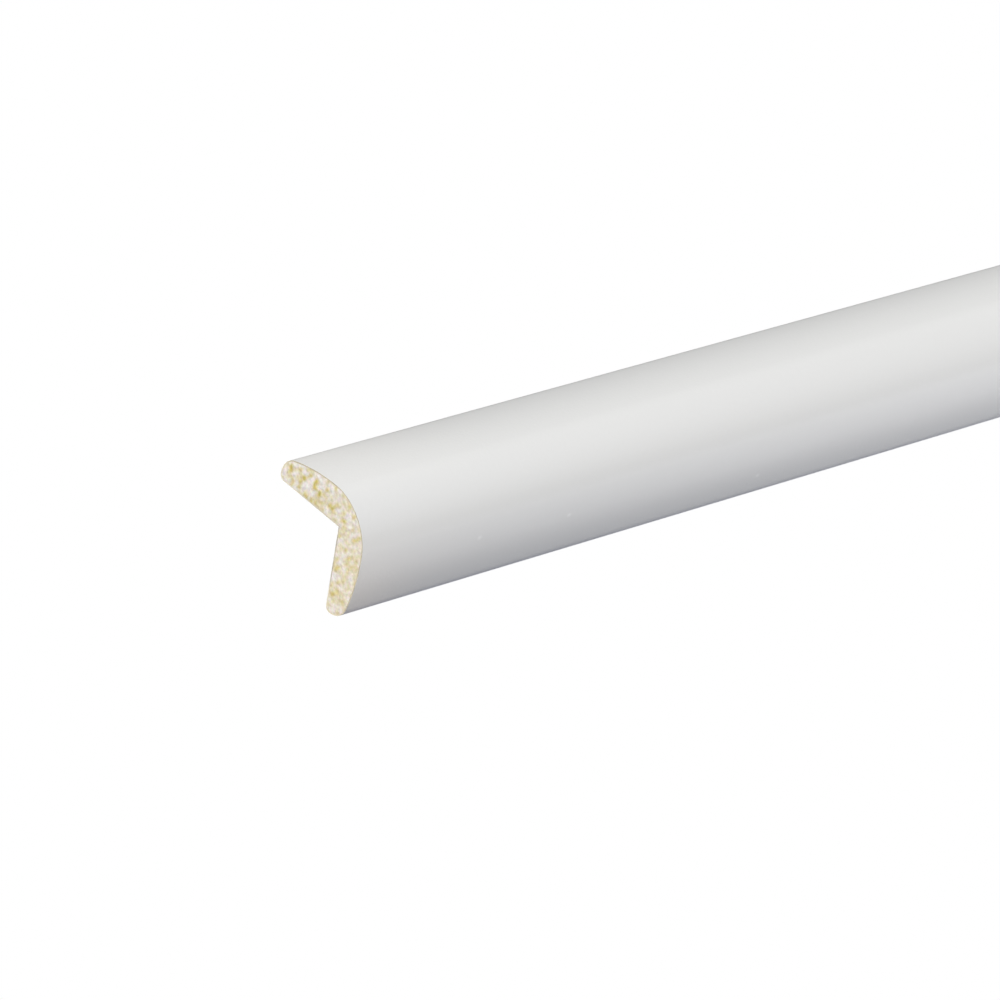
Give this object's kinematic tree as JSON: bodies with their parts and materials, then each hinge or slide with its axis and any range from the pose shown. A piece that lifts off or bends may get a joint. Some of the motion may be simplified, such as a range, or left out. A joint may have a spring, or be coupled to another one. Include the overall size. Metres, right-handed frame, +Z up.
{
  "type": "corner guard moulding",
  "caption": "Straight white corner guard moulding with two equal crowned legs, a round nose and flat backs that bed on an outside wall corner.",
  "frame": {"origin": "on the floor, at mid-length, under the middle of the nose", "axes": "+X along the stick, +Z up through the nose, +Y across the two legs"},
  "size_m": [1.2192, 0.0222, 0.0141],
  "materials": {
    "prefinished_polystyrene": "white satin finish film on cellular polystyrene, raw on the backs and on the sawn ends"
  },
  "bodies": {
    "root": {"corner_guard": "prefinished_polystyrene"}
  },
  "joints": []
}
